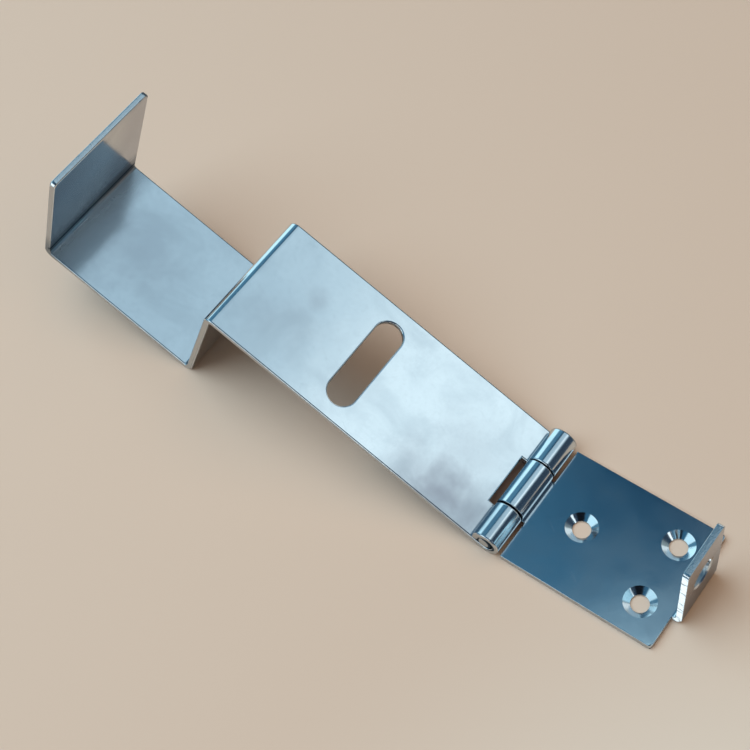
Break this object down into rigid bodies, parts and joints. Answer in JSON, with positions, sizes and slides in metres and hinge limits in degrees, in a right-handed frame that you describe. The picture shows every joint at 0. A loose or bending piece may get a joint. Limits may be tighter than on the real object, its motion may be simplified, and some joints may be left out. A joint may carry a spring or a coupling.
{
  "type": "padlock hasp",
  "caption": "Sheet steel padlock hasp: a screwed back plate with a staple tab, hinged to a slotted strap that steps down into a hook-shaped end.",
  "frame": {"origin": "on the plane that the back plate is screwed to, straight below the hinge pin's axis, at mid width", "axes": "+X along the back plate from the hinge to its staple tab, +Y along the hinge pin, +Z away from the mounting surface"},
  "size_m": [0.2164, 0.04, 0.0681],
  "materials": {
    "zinc_sheet": "bright bluish zinc plating on rolled sheet, with fine scratches",
    "pin_steel": "plain bright steel, zinc plated"
  },
  "bodies": {
    "plate": {"back_plate": "zinc_sheet", "hinge_pin": "pin_steel"},
    "strap": {"hasp_strap": "zinc_sheet"}
  },
  "joints": [
    {"name": "strap_swing", "type": "hinge", "parent": "plate", "child": "strap", "pos_m": [0, 0, 0.00435], "axis": [0, 1, 0], "range_deg": [-118, 160]}
  ]
}
